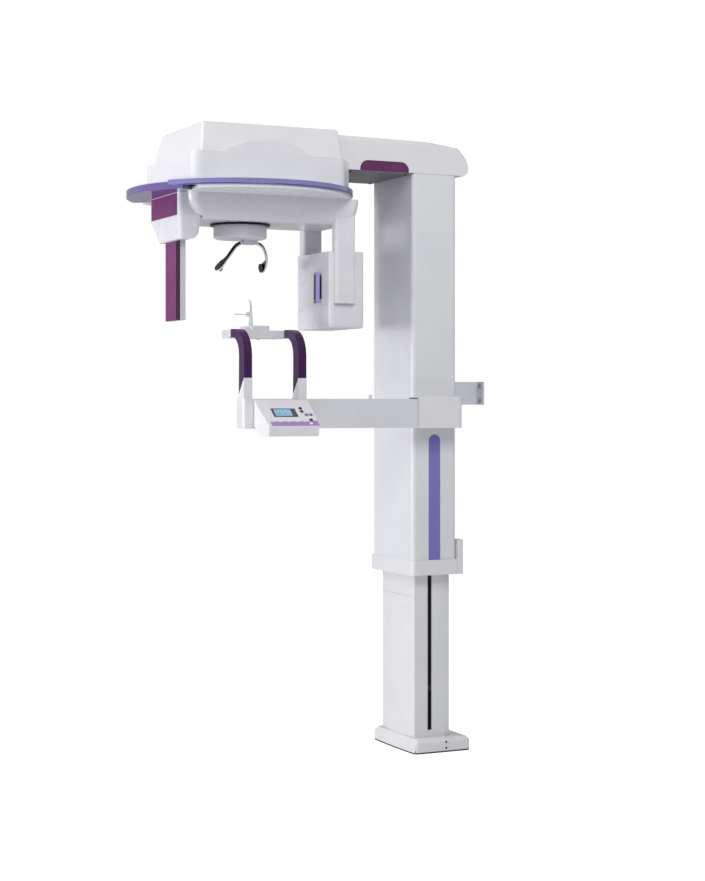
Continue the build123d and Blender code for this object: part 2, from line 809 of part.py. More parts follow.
def make_tube_head(parts):
    tube = block(-tube_half_width, tube_half_width, tube_front, tube_back, tube_bottom, tube_top)
    tube = fillet(tube.edges().filter_by(Axis.Z), tube_corner)
    tube = fillet(tube.edges().group_by(Axis.Z)[0], tube_low_edge)
    tube -= block(tube_wall - tube_half_width, tube_half_width - tube_wall, tube_front + tube_wall,
                  tube_back - tube_wall, tube_bottom + tube_wall, tube_top - tube_wall)
    for side in (-1, 1):
        tube += make_tube_strut(side)
    groove_top = low_groove_z + groove_width
    groove_half = tube_half_width - groove_depth
    band = block(-tube_half_width, tube_half_width, tube_front, tube_back, low_groove_z, groove_top)
    tube -= band - block(-groove_half, groove_half, tube_front + groove_depth, tube_back - groove_depth,
                         low_groove_z, groove_top)
    tube -= block(-tube_half_width, 0, tube_front, tube_front + groove_depth,
                  front_groove_z, front_groove_z + groove_width)
    parts["tube_housing"] = tube

    body = block(collimator_offset - collimator_width / 2, collimator_offset + collimator_width / 2,
                 tube_front - collimator_depth, tube_front, collimator_bottom,
                 collimator_bottom + collimator_height)
    parts["collimator"] = chamfer(body.edges().filter_by(Axis.Z).group_by(Axis.Y)[0], collimator_bevel)
    centre_y = (tube_front + tube_back) / 2
    insert = Pos(0, centre_y, collimator_bottom + collimator_height / 2) * Rot(0, 90, 0) * Cylinder(
        xray_tube_radius, xray_tube_length)
    clamp_low, clamp_high = xray_clamp_span
    clamp_block = block(-xray_clamp_half, xray_clamp_half, centre_y + xray_tube_radius - xray_clamp_bite,
                        tube_back - tube_wall, collimator_bottom + clamp_low, collimator_bottom + clamp_high)
    parts["xray_tube"] = insert + clamp_block


def temple_route(side):
    return [(temple_x + x, patient_y + side * y, temple_z + z) for x, y, z in temple_steps]


def temple_band(points, side):
    outward = Vector(temple_outward[0], side, temple_outward[1]).normalized()
    band = None
    for start, end in zip(points, points[1:]):
        along = (Vector(*end) - Vector(*start)).normalized()
        across = along.cross(outward).normalized()
        section = Plane(origin=start, x_dir=across, z_dir=along) * Rectangle(temple_width, temple_thickness)
        run = extrude(section, (Vector(*end) - Vector(*start)).length, dir=along)
        band = run if band is None else band + run
        knee = Plane(origin=end, z_dir=across) * Cylinder(temple_thickness / 2, temple_width)
        band += knee
    return band


def temple_hinge(side, radius, length):
    return Pos(temple_x, patient_y + side * temple_pin_offset, temple_z) * Rot(0, 90, 0) * Cylinder(
        radius, length)


def make_head_support(parts):
    parts["support_disc"] = post(0, axis_y, support_top + touch_gap, support_top + disc_rise, disc_radius)
    support = post(0, axis_y, support_bottom, support_top, support_radius)
    support = fillet(support.edges().group_by(Axis.Z)[0], support_edge)
    support -= Pos(0, axis_y - support_radius, support_bottom) * Rot(facet_tilt, 0, 0) * Box(
        2 * support_radius, 2 * facet_reach, facet_depth)
    half = temple_block / 2
    web_half = half - temple_cheek
    low = temple_z - temple_block_height / 2
    high = temple_z + temple_block_height / 2
    support += block(temple_x - web_half, temple_x + web_half, patient_y - web_half_depth,
                     patient_y + web_half_depth, low, high)
    for x in (temple_x - half, temple_x + half - temple_cheek):
        support += block(x, x + temple_cheek, patient_y - cheek_half_depth, patient_y + cheek_half_depth,
                         low + 1, high - 2)
    for side in (-1, 1):
        support += temple_hinge(side, temple_pin_radius, temple_block - temple_cheek)
    parts["head_support"] = support


def make_temples(parts):
    boss_length = temple_block - 2 * temple_cheek - 2 * touch_gap
    for side, name in ((-1, "right"), (1, "left")):
        points = temple_route(side)
        arm = temple_band(points, side) + temple_hinge(side, temple_boss_radius, boss_length)
        arm -= temple_hinge(side, temple_pin_radius + running_gap, temple_block)
        parts["temple_arm_" + name] = arm
        end_x, end_y, end_z = points[-1]
        inner = end_y - side * (temple_thickness / 2 + pad_stand_off)
        pad = Pos(end_x, inner - side * pad_thickness / 2, end_z) * Rot(90, 0, 0) * extrude(
            Ellipse(pad_length / 2, pad_height / 2), pad_thickness / 2, both=True)
        stud = Pos(end_x, (inner + end_y) / 2, end_z) * Rot(90, 0, 0) * Cylinder(
            pad_stud_radius, abs(end_y - inner))
        parts["temple_pad_" + name] = (pad + stud) - arm


def handle_profile():
    inner_x = handle_outer - handle_depth
    inner_top = handle_top - handle_top_depth
    bend_z = handle_top - handle_bend
    bend_x = handle_outer - handle_bend
    inner_bend_x = bend_x - handle_inner_shift
    quarter = math.pi / 2 / handle_arc_steps
    outer = [(handle_outer, grip_bottom_outer), (handle_outer, bend_z)]
    for step in range(1, handle_arc_steps + 1):
        angle = quarter * step
        outer.append((bend_x + handle_bend * math.cos(angle), bend_z + handle_bend * math.sin(angle)))
    outer.append((handle_end, handle_top))
    inner = [(handle_end, inner_top)]
    for step in range(handle_arc_steps, -1, -1):
        angle = quarter * step
        inner.append((inner_bend_x + (inner_x - inner_bend_x) * math.cos(angle),
                      bend_z + (inner_top - bend_z) * math.sin(angle)))
    inner.append((inner_x - 2, grip_bottom_inner))
    return outer + inner


def make_patient_arm(parts):
    arm = block(patient_arm_inner, patient_arm_outer, patient_arm_front, patient_arm_split,
                patient_arm_bottom, patient_arm_top)
    front_edges = arm.edges().filter_by(Axis.Z).group_by(Axis.Y)[0]
    arm = fillet(front_edges, patient_arm_corner)
    wall = patient_arm_wall
    arm -= block(patient_arm_inner + wall, patient_arm_outer - wall, patient_arm_front + patient_arm_nose,
                 patient_arm_split, patient_arm_bottom + wall, patient_arm_top - wall)
    parts["patient_arm"] = arm
    cover_low = patient_arm_bottom - 2
    cover_high = patient_arm_top + end_cover_extra + 3
    cover_outer = patient_arm_outer + end_cover_extra
    cover = block(patient_arm_inner, cover_outer, patient_arm_split + seam_gap, patient_arm_rear,
                  cover_low, cover_high)
    rear_edges = cover.edges().filter_by(Axis.Z).group_by(Axis.Y)[-1].sort_by(Axis.X)[-1:]
    cover = fillet(rear_edges, end_cover_corner)
    cover = fillet(cover.edges().group_by(Axis.Z)[-1].sort_by(Axis.X)[-1:], end_cover_edge)
    cover -= block(patient_arm_inner + wall, cover_outer - wall, patient_arm_split,
                   patient_arm_rear - patient_arm_nose, cover_low + wall, cover_high - wall)
    parts["arm_end_cover"] = cover

    grips = []
    bases = []
    inner_x = handle_outer - handle_depth
    for side in (-1, 1):
        centre = patient_y + side * handle_spacing / 2
        grips.append(front_prism(handle_profile(), centre - handle_width / 2, centre + handle_width / 2))
        base = front_prism([(handle_outer, patient_arm_top), (handle_outer, grip_bottom_outer - touch_gap),
                            (inner_x - 2, grip_bottom_inner - touch_gap - 1),
                            (inner_x - handle_base_flare, patient_arm_top)],
                           centre - handle_width / 2 - 1, centre + handle_width / 2 + 1)
        bases.append(base)
    parts["handle_grips"] = Compound(grips)
    parts["handle_bases"] = Compound(bases)


def make_chin_rest(parts):
    half_gap = handle_spacing / 2 - handle_width / 2 - touch_gap
    tip_x = handle_end - touch_gap
    bridge = block(bridge_back, bridge_front, patient_y - half_gap, patient_y + half_gap,
                   bridge_bottom, bridge_top)
    for side in (-1, 1):
        centre = patient_y + side * handle_spacing / 2
        bridge += block(tip_x - rest_length, tip_x, centre - handle_width / 2, centre + handle_width / 2,
                        bridge_bottom + 2, bridge_top + 1)
        near = patient_y + side * (half_gap - 2)
        bridge += block(bridge_back, tip_x, min(near, centre), max(near, centre),
                        bridge_bottom + 2, bridge_top)
    middle_x = (bridge_back + bridge_front) / 2
    bridge -= post(middle_x, patient_y, bridge_bottom, bridge_top, cup_stem_radius + running_gap)
    parts["chin_bridge"] = bridge

    cup = block(cup_back, cup_front, patient_y - cup_half_width, patient_y + cup_half_width,
                bridge_top + touch_gap, cup_top)
    cup = round_uprights(cup, cup_corner)
    cup += post(middle_x, patient_y, bridge_bottom - cup_stem_drop, cup_top - 4, cup_stem_radius)
    half_slot = tang_thickness / 2 + touch_gap
    cup -= block(bite_x - bite_base_radius - 2, bite_x + bite_base_radius + bite_slot_rear,
                 patient_y - half_slot, patient_y + half_slot, bridge_top, cup_top + 1)
    pin_z = cup_top - bite_pin_drop
    pin_place = Pos(bite_x, patient_y, pin_z) * Rot(90, 0, 0)
    parts["chin_cup"] = cup + pin_place * Cylinder(bite_pin_radius, 2 * half_slot + 2)
    make_bite_post(parts, pin_z, pin_place)


def make_bite_post(parts, pin_z, pin_place):
    tang = block(bite_x - tang_half_width, bite_x + tang_half_width, patient_y - tang_thickness / 2,
                 patient_y + tang_thickness / 2, pin_z - 4, cup_top + tang_rise)
    tang -= pin_place * Cylinder(bite_pin_radius + running_gap, tang_thickness + 2)
    cone_low = cup_top + bite_cone_lift
    cone = Pos(bite_x, patient_y, cone_low + bite_cone_height / 2) * Cone(
        bite_base_radius, bite_rod_radius + 1, bite_cone_height)
    rod = post(bite_x, patient_y, cone_low + bite_cone_height - bite_tip_reach, bite_top - bite_tip_drop - 1,
               bite_rod_radius)
    tip = Pos(bite_x - bite_tip_reach, patient_y, bite_top - bite_tip_drop) * Rot(0, 90, 0) * Cylinder(
        bite_rod_radius, bite_tip_length)
    far, near, half, low, high = bite_clamp
    clamp = block(bite_x - far, bite_x - near, patient_y - half, patient_y + half,
                  cone_low + low, cone_low + high)
    back, aside, lift, radius, length = bite_lever
    lever = Pos(bite_x - back, patient_y - aside, cone_low + lift) * Rot(90, 0, 0) * Cylinder(radius, length)
    parts["bite_post"] = tang + cone + rod + tip + clamp + lever


def panel_point(along, lift):
    run = math.hypot(panel_end_x - panel_start_x, panel_start_z - panel_end_z)
    ux = (panel_end_x - panel_start_x) / run
    uz = (panel_end_z - panel_start_z) / run
    return panel_start_x + ux * along - uz * lift, panel_start_z + uz * along + ux * lift


def on_panel(along, y, lift):
    x, z = panel_point(along, lift)
    tilt = math.degrees(math.atan2(panel_start_z - panel_end_z, panel_end_x - panel_start_x))
    return Pos(x, y, z) * Rot(0, tilt, 0)


def panel_shell():
    front_step, bottom_step, flat_start = lip_chamfer
    arm_side = patient_arm_outer + touch_gap
    profile = [(arm_side, panel_start_z - arm_side_step), (panel_start_x, panel_start_z),
               (panel_end_x, panel_end_z), (panel_end_x - front_step, panel_lip_bottom + front_step),
               (panel_end_x - bottom_step, panel_lip_bottom),
               (patient_arm_outer + flat_start, panel_lip_bottom),
               (arm_side, patient_arm_bottom + arm_side_foot)]
    shell = front_prism(profile, panel_left, panel_right)
    wedge_end = panel_end_x + wedge_margin
    for side, edge in ((-1, panel_left), (1, panel_right)):
        outline = [(panel_start_x + wedge_start, edge + side * 2), (wedge_end, edge + side * 2),
                   (wedge_end, edge - side * panel_taper)]
        shell -= prism(outline, panel_lip_bottom - wedge_margin, panel_start_z + wedge_margin)
    return shell


def make_control_panel(parts):
    housing = panel_shell()
    width = screen_right - screen_left
    length = screen_bottom - screen_top
    centre_y = (screen_left + screen_right) / 2
    centre_s = (screen_top + screen_bottom) / 2
    housing -= on_panel(centre_s, centre_y, 0) * Box(length, width, screen_recess)
    parts["lcd_screen"] = on_panel(centre_s, centre_y, -screen_drop) * Box(
        length - screen_fit, width - screen_fit, screen_depth)
    for name, (along, y) in key_places.items():
        housing -= on_panel(along, y, -4) * Cylinder(key_radius + touch_gap, key_pocket_depth)
        height = key_depth + key_proud
        parts[name] = on_panel(along, y, key_proud - height / 2) * Cylinder(key_radius, height)
    parts["panel_housing"] = housing


def main():
    parts = {}
    make_base(parts)
    make_fixed_column(parts)
    make_lift_drive(parts)
    make_carriage_frame(parts)
    make_moving_column(parts)
    make_wall_bracket(parts)
    make_beam(parts)
    make_head_covers(parts)
    make_arm_drive(parts)
    make_arm(parts)
    make_sensor(parts)
    make_tube_head(parts)
    make_head_support(parts)
    make_temples(parts)
    make_patient_arm(parts)
    make_chin_rest(parts)
    make_control_panel(parts)
    os.makedirs("parts", exist_ok=True)
    for name, shape in parts.items():
        export_step(shape, "parts/" + name + ".step")
    print(len(parts), "parts written")


main()
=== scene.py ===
import bpy
import bmesh
import json
import math
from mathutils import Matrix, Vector


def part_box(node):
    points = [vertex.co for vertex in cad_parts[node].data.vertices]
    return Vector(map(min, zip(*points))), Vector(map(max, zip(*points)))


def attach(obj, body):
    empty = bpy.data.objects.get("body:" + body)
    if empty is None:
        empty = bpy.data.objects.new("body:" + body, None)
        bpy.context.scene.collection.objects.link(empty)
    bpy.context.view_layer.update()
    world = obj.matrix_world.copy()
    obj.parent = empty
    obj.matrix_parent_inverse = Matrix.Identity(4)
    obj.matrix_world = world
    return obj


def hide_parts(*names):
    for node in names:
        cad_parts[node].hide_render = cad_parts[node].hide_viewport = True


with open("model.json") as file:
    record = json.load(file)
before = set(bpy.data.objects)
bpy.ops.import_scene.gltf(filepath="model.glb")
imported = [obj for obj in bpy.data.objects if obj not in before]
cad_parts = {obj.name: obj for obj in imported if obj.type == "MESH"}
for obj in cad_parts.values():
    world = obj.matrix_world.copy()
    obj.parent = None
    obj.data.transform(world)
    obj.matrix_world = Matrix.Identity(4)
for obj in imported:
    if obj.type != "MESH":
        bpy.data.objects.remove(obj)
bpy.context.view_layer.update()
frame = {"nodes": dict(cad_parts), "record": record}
nodes = frame["nodes"]
print("frame loaded,", len(nodes), "nodes")

mm = 0.001


# colours and nodes

def hexToLinear(code, alpha=1.0):
    out = []
    for i in (1, 3, 5):
        c = int(code[i:i + 2], 16) / 255
        out.append(c / 12.92 if c <= 0.04045 else ((c + 0.055) / 1.055) ** 2.4)
    return (*out, alpha)


def addNode(tree, kind, settings=None, links=None):
    node = tree.nodes.new(kind)
    for key, value in (settings or {}).items():
        if key in node.inputs:
            node.inputs[key].default_value = value
        else:
            setattr(node, key, value)
    for key, source in (links or {}).items():
        tree.links.new(source, node.inputs[key])
    return node


def startMaterial(name):
    material = bpy.data.materials.new(name)
    material.use_nodes = True
    tree = material.node_tree
    tree.nodes.clear()
    shader = addNode(tree, "ShaderNodeBsdfPrincipled")
    output = addNode(tree, "ShaderNodeOutputMaterial", links={"Surface": shader.outputs["BSDF"]})
    output.location = (400, 0)
    place = addNode(tree, "ShaderNodeTexCoord").outputs["Object"]
    return material, tree, shader, place


def mottle(tree, place, sizeMm, detail=3.0):
    # soft patches, sizeMm across
    return addNode(tree, "ShaderNodeTexNoise", {"Scale": 1000 / sizeMm, "Detail": detail, "Roughness": 0.55},
                   {"Vector": place}).outputs["Fac"]


def stretch(tree, value, low, high):
    return addNode(tree, "ShaderNodeMapRange",
                   {"From Min": 0.3, "From Max": 0.7, "To Min": low, "To Max": high},
                   {"Value": value}).outputs["Result"]


def twoTone(tree, factor, first, second):
    mix = addNode(tree, "ShaderNodeMix", {"data_type": "RGBA"})
    mix.inputs["A"].default_value = hexToLinear(first)
    mix.inputs["B"].default_value = hexToLinear(second)
    tree.links.new(factor, mix.inputs["Factor"])
    return mix.outputs["Result"]


def edgeWear(tree, radiusMm):
    # 1 on an outer edge that hands and cloths rub, 0 on the flats
    soft = addNode(tree, "ShaderNodeBevel", {"Radius": radiusMm * mm, "samples": 4}).outputs["Normal"]
    sharp = addNode(tree, "ShaderNodeNewGeometry").outputs["Normal"]
    same = addNode(tree, "ShaderNodeVectorMath", {"operation": "DOT_PRODUCT"})
    tree.links.new(soft, same.inputs[0])
    tree.links.new(sharp, same.inputs[1])
    return addNode(tree, "ShaderNodeMapRange",
                   {"From Min": 0.985, "From Max": 0.80, "To Min": 0.0, "To Max": 1.0},
                   {"Value": same.outputs["Value"]}).outputs["Result"]


def wornEdges(tree, colour, edgeMm, wear):
    # the paler line along rubbed edges
    mix = addNode(tree, "ShaderNodeMix", {"data_type": "RGBA"})
    tree.links.new(edgeWear(tree, edgeMm * 1.5), mix.inputs["Factor"])
    tree.links.new(colour, mix.inputs["A"])
    mix.inputs["B"].default_value = hexToLinear(wear)
    return mix.outputs["Result"]

def roundedBump(tree, shader, height, strength, distanceMm, edgeMm):
    # the moulding's own small edge radius, then its grain
    links = {"Height": height}
    if edgeMm:
        links["Normal"] = addNode(tree, "ShaderNodeBevel",
                                  {"Radius": edgeMm * mm, "samples": 4}).outputs["Normal"]
    bump = addNode(tree, "ShaderNodeBump", {"Strength": strength, "Distance": distanceMm * mm}, links)
    tree.links.new(bump.outputs["Normal"], shader.inputs["Normal"])


def mouldedPlastic(name, pale, deep, rough, grainMm=6.0, edgeMm=1.2, coat=0.0, wear=None, grainDepth=0.02,
                   patchMm=90, sheen=0.5):
    # injection moulded plastic: spark-eroded grain, gloss that drifts a little, corners polished by cleaning
    # the real grain is about 1 mm across and is drawn 6 mm across so that it shows
    material, tree, shader, place = startMaterial(name)
    patches = mottle(tree, place, patchMm)
    colour = twoTone(tree, stretch(tree, patches, 0.0, 1.0), pale, deep)
    if wear:
        colour = wornEdges(tree, colour, edgeMm, wear)
    tree.links.new(colour, shader.inputs["Base Color"])
    handling = mottle(tree, place, 35, 6.0)
    tree.links.new(stretch(tree, handling, rough * 0.86, rough * 1.14), shader.inputs["Roughness"])
    shader.inputs["IOR"].default_value = 1.50
    shader.inputs["Specular IOR Level"].default_value = sheen
    if coat:
        shader.inputs["Coat Weight"].default_value = coat
        shader.inputs["Coat Roughness"].default_value = 0.06
    roundedBump(tree, shader, mottle(tree, place, grainMm, 2.0), 0.10, grainDepth, edgeMm)
    return material


def powderCoat(name, pale, deep, rough, peelMm=7.0, edgeMm=1.0, wear=None):
    # polyester powder on steel or aluminium: orange peel, and a thin brighter line where it is rubbed
    # the real peel is about 2 mm across and is drawn 7 mm across so that it shows
    material, tree, shader, place = startMaterial(name)
    patches = mottle(tree, place, 140)
    colour = twoTone(tree, stretch(tree, patches, 0.0, 1.0), pale, deep)
    if wear:
        colour = wornEdges(tree, colour, edgeMm, wear)
    tree.links.new(colour, shader.inputs["Base Color"])
    tree.links.new(stretch(tree, mottle(tree, place, 50, 5.0), rough * 0.88, rough * 1.12),
                   shader.inputs["Roughness"])
    shader.inputs["IOR"].default_value = 1.52
    roundedBump(tree, shader, mottle(tree, place, peelMm, 1.5), 0.12, 0.04, edgeMm)
    return material


def turnedMetal(name, pale, deep, rough, lineMm=0.8, edgeMm=0.6):
    # turned or ground metal: fine rings round Z, stretched along them
    material, tree, shader, place = startMaterial(name)
    squeezed = addNode(tree, "ShaderNodeMapping", {"Scale": (0.06, 0.06, 1.0)},
                       {"Vector": place}).outputs["Vector"]
    lines = addNode(tree, "ShaderNodeTexNoise", {"Scale": 1000 / lineMm, "Detail": 2.0},
                    {"Vector": squeezed})
    colour = twoTone(tree, stretch(tree, mottle(tree, place, 30), 0.0, 1.0), pale, deep)
    tree.links.new(colour, shader.inputs["Base Color"])
    shader.inputs["Metallic"].default_value = 1.0
    tree.links.new(stretch(tree, lines.outputs["Fac"], rough * 0.8, rough * 1.25),
                   shader.inputs["Roughness"])
    roundedBump(tree, shader, lines.outputs["Fac"], 0.2, 0.02, edgeMm)
    return material


def softRubber(name, pale, deep, rough=0.72, grainMm=0.9):
    # moulded nitrile rubber: matt, with fine bloom on it
    material, tree, shader, place = startMaterial(name)
    colour = twoTone(tree, stretch(tree, mottle(tree, place, 18, 5.0), 0.0, 1.0), pale, deep)
    tree.links.new(colour, shader.inputs["Base Color"])
    tree.links.new(stretch(tree, mottle(tree, place, 8, 4.0), rough * 0.9, rough * 1.1),
                   shader.inputs["Roughness"])
    shader.inputs["IOR"].default_value = 1.52
    roundedBump(tree, shader, mottle(tree, place, grainMm, 3.0), 0.35, 0.06, 0.8)
    return material


def bristle(name):
    # nylon bristle seal: upright hairs 0.6 mm apart, drawn 1.5 mm apart so that they show
    material, tree, shader, place = startMaterial(name)
    drawn = addNode(tree, "ShaderNodeMapping", {"Scale": (1.0, 1.0, 0.05)},
                    {"Vector": place}).outputs["Vector"]
    hairs = addNode(tree, "ShaderNodeTexNoise", {"Scale": 1000 / 1.5, "Detail": 3.0},
                    {"Vector": drawn}).outputs["Fac"]
    tree.links.new(twoTone(tree, stretch(tree, hairs, 0.0, 1.0), "#0B0B0D", "#26262A"),
                   shader.inputs["Base Color"])
    tree.links.new(stretch(tree, hairs, 0.6, 0.85), shader.inputs["Roughness"])
    roundedBump(tree, shader, hairs, 0.6, 0.4, 0)
    return material


def clearGlass(name, tint, rough=0.05):
    # blown glass: clear, with a faint ripple
    material, tree, shader, place = startMaterial(name)
    shader.inputs["Base Color"].default_value = hexToLinear(tint)
    shader.inputs["Transmission Weight"].default_value = 0.75
    shader.inputs["IOR"].default_value = 1.47
    tree.links.new(stretch(tree, mottle(tree, place, 12), rough * 0.7, rough * 1.4),
                   shader.inputs["Roughness"])
    roundedBump(tree, shader, mottle(tree, place, 20, 1.0), 0.08, 0.1, 0)
    return material


slotMaterials = {
    "white_cover": mouldedPlastic("mouldedAbsCover", "#E6E6EA", "#E1E2E6", 0.32, wear="#FBFBFD", coat=0.15),
    "column_paint": powderCoat("powderCoatedColumn", "#E4E5E9", "#DFE0E5", 0.36, wear="#FAFAFC"),
    "arm_cover": mouldedPlastic("mouldedAbsArm", "#E4E4E9", "#DFDFE5", 0.30, wear="#FBFBFD", coat=0.25),
    "arm_paint": powderCoat("powderCoatedArm", "#DCDDE2", "#D7D8DE", 0.38, wear="#F8F8FB"),
    "bracket_paint": powderCoat("powderCoatedBracket", "#D9DBE2", "#CFD2DA", 0.42, wear="#E8E9EE"),
    "frame_steel": powderCoat("primedSteel", "#5E6066", "#53555B", 0.5, wear="#8A8C90"),
    "grey_plate": powderCoat("powderCoatedPlate", "#66666E", "#5D5D65", 0.42, wear="#85858F"),
    "motor_steel": powderCoat("enamelledMotor", "#26272A", "#1D1E21", 0.4, wear="#4A4B50"),
    "black_rubber": softRubber("mouldedRubber", "#141416", "#1E1E21"),
    "black_bristle": bristle("nylonBristle"),
    "zinc_steel": turnedMetal("zincPlatedSteel", "#B9BBC2", "#A9ABB3", 0.34, edgeMm=0.5),
    "screw_steel": turnedMetal("groundSteel", "#BDBEC2", "#ADAFB4", 0.25),
    "hub_aluminium": turnedMetal("turnedAluminium", "#D4D6DA", "#C6C8CD", 0.3),
    "bronze_nut": turnedMetal("machinedBronze", "#B88A4E", "#A67A40", 0.3),
    "slide_polymer": mouldedPlastic("machinedAcetal", "#E4E1D6", "#DAD6CA", 0.45, grainMm=2.0,
                                    wear="#EEEBE2"),
    "lavender_trim": mouldedPlastic("lavenderTrim", "#7F78C2", "#746DB8", 0.30, wear="#9A94D2", coat=0.3,
                                    patchMm=220),
    "plum_plastic": mouldedPlastic("plumLiner", "#6B2C63", "#5A2253", 0.30, wear="#85417C", coat=0.3),
    "light_underside": mouldedPlastic("paleLavenderPlate", "#DCDCEA", "#D3D3E2", 0.34, wear="#E9E9F2"),
    "ring_lavender": mouldedPlastic("glossLavenderRing", "#8783BD", "#7C78B5", 0.14, wear="#A3A0D0",
                                    coat=0.9),
    "support_white": mouldedPlastic("sandblastedNylon", "#E0E0E6", "#DADAE1", 0.38, wear="#F8F8FB"),
    "black_plastic": mouldedPlastic("blackAbs", "#141017", "#1B151F", 0.36, wear="#2C2730", sheen=0.16),
    "handle_plum": mouldedPlastic("lacqueredPlumHandle", "#421A54", "#371546", 0.20, wear="#5E3576",
                                  coat=0.15, sheen=0.3),
    "panel_white": mouldedPlastic("mouldedPanelAbs", "#E6E6EB", "#E0E0E6", 0.40, wear="#F6F6F9"),
    "lcd_glass": mouldedPlastic("smokedAcrylic", "#2A2D3C", "#232635", 0.12, grainMm=3, wear="#3A3E50",
                                coat=0.9),
    "plum_panel": mouldedPlastic("lacqueredPlumPanel", "#7A3A72", "#703268", 0.32, wear="#8A4A82",
                                 sheen=0.15),
    "violet_visor": mouldedPlastic("violetAcrylic", "#6C5F9C", "#615492", 0.12, wear="#8A7EB8", coat=0.6),
    "light_grey_plastic": mouldedPlastic("greyPolycarbonate", "#D0D1D8", "#C6C7CF", 0.36, wear="#E2E2E8"),
    "collimator_lavender": mouldedPlastic("lavenderAbs", "#A79DDB", "#988DD0", 0.3, wear="#BDB5E6",
                                          coat=0.3),
    "tube_insert": clearGlass("borosilicateGlass", "#DDE6EA"),
    "temple_white": mouldedPlastic("opalPolycarbonate", "#ECECF2", "#E6E6EE", 0.22, wear="#F6F6F9",
                                   coat=0.5),
    "temple_dark": softRubber("softSiliconePad", "#231D2B", "#1A1522", 0.5),
    "key_dark": softRubber("siliconeKeyDark", "#3A3547", "#312C3D", 0.5, 0.6),
    "key_mauve": softRubber("siliconeKeyMauve", "#9274AE", "#8568A2", 0.5, 0.6),
    "key_white": softRubber("siliconeKeyWhite", "#EDEDF1", "#E4E4E9", 0.45, 0.6),
}
slotOf = {part["node"]: part["material_slot"] for part in frame["record"]["subparts"]}
for name, node in nodes.items():
    if not node.material_slots:
        node.data.materials.append(None)
    for place in node.material_slots:
        place.material = slotMaterials[slotOf[name]]
print("materials made:", len(slotMaterials))


# shaping

def newPiece(name, verts, faces, material, body, smooth=True, subdivide=0):
    mesh = bpy.data.meshes.new(name)
    bm = bmesh.new()
    made = [bm.verts.new(v) for v in verts]
    for face in faces:
        bm.faces.new([made[i] for i in face])
    bmesh.ops.recalc_face_normals(bm, faces=bm.faces)
    bm.to_mesh(mesh)
    bm.free()
    for polygon in mesh.polygons:
        polygon.use_smooth = smooth
    piece = bpy.data.objects.new(name, mesh)
    bpy.context.scene.collection.objects.link(piece)
    mesh.materials.append(material)
    if subdivide:
        rounding = piece.modifiers.new("rounding", "SUBSURF")
        rounding.levels = rounding.render_levels = subdivide
    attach(piece, body)
    return piece


def joinRings(rings, closeEnds=True):
    # a skin over rings of equal length, with flat ends
    count = len(rings[0])
    verts = [v for ring in rings for v in ring]
    faces = []
    for r in range(len(rings) - 1):
        for k in range(count):
            n = (k + 1) % count
            faces.append((r * count + k, r * count + n, (r + 1) * count + n, (r + 1) * count + k))
    if closeEnds:
        faces.append(tuple(range(count)))
        faces.append(tuple((len(rings) - 1) * count + k for k in range(count)))
    return verts, faces


def spin(profile, centre, axis, steps=28, squeeze=(1.0, 1.0)):
    # rings of (radius, height) turned round an axis through centre
    axis = Vector(axis).normalized()
    side = axis.orthogonal().normalized()
    if abs(axis.z) < 0.99:
        side = Vector((0, 0, 1)).cross(axis).normalized()
    up = axis.cross(side)
    rings = []
    for radius, height in profile:
        rings.append([Vector(centre) + axis * height + side * (math.cos(a) * radius * squeeze[0])
                      + up * (math.sin(a) * radius * squeeze[1])
                      for a in (2 * math.pi * k / steps for k in range(steps))])
    return joinRings(rings)


def roundedBlock(low, high, radius, bevelAxis="z", steps=4):
    # a block with its four edges along one axis rounded, and a small round on the rest
    order = {"x": (1, 2, 0), "y": (2, 0, 1), "z": (0, 1, 2)}[bevelAxis]
    a, b, c = order
    lip = min(radius * 0.35, (high[c] - low[c]) * 0.3)
    rings = []
    for inset, level in ((lip, low[c]), (lip * 0.3, low[c] + lip * 0.3), (0, low[c] + lip),
                         (0, high[c] - lip), (lip * 0.3, high[c] - lip * 0.3), (lip, high[c])):
        ring = []
        for cornerA, cornerB, start in ((1, 1, 0), (0, 1, 90), (0, 0, 180), (1, 0, 270)):
            middleA = high[a] - radius if cornerA else low[a] + radius
            middleB = high[b] - radius if cornerB else low[b] + radius
            for k in range(steps + 1):
                angle = math.radians(start + 90 * k / steps)
                point = [0, 0, 0]
                point[a] = middleA + math.cos(angle) * (radius - inset)
                point[b] = middleB + math.sin(angle) * (radius - inset)
                point[c] = level
                ring.append(Vector(point))
        rings.append(ring)
    return joinRings(rings)


def smoothLine(points, perSpan=6):
    # an easy curve through the points
    points = [Vector(p) for p in points]
    out = []
    for k in range(len(points) - 1):
        before = points[max(k - 1, 0)]
        here, there = points[k], points[k + 1]
        after = points[min(k + 2, len(points) - 1)]
        for step in range(perSpan):
            t = step / perSpan
            out.append(0.5 * (2 * here + (there - before) * t + (2 * before - 5 * here + 4 * there - after) * t ** 2
                              + (3 * here - before - 3 * there + after) * t ** 3))
    out.append(points[-1])
    return out


def sweep(line, widths, depths, faceAway, corners=16, squareness=2.6):
    # soft oblong sections along a line; faceAway turns their thin side
    rings = []
    for k, point in enumerate(line):
        ahead = line[min(k + 1, len(line) - 1)] - line[max(k - 1, 0)]
        along = ahead.normalized()
        across = along.cross(Vector(faceAway)).normalized()
        out = across.cross(along).normalized()
        ring = []
        for step in range(corners):
            angle = 2 * math.pi * step / corners
            ca, sa = math.cos(angle), math.sin(angle)
            wide = math.copysign(abs(ca) ** (2 / squareness), ca) * widths[k] / 2
            deep = math.copysign(abs(sa) ** (2 / squareness), sa) * depths[k] / 2
            ring.append(point + across * wide + out * deep)
        rings.append(ring)
    return joinRings(rings)


def together(*parts):
    verts, faces = [], []
    for partVerts, partFaces in parts:
        start = len(verts)
        verts += partVerts
        faces += [tuple(i + start for i in face) for face in partFaces]
    return verts, faces


# temple arms: an opal body with a dark skin on both faces, and a soft pad inside its paddle

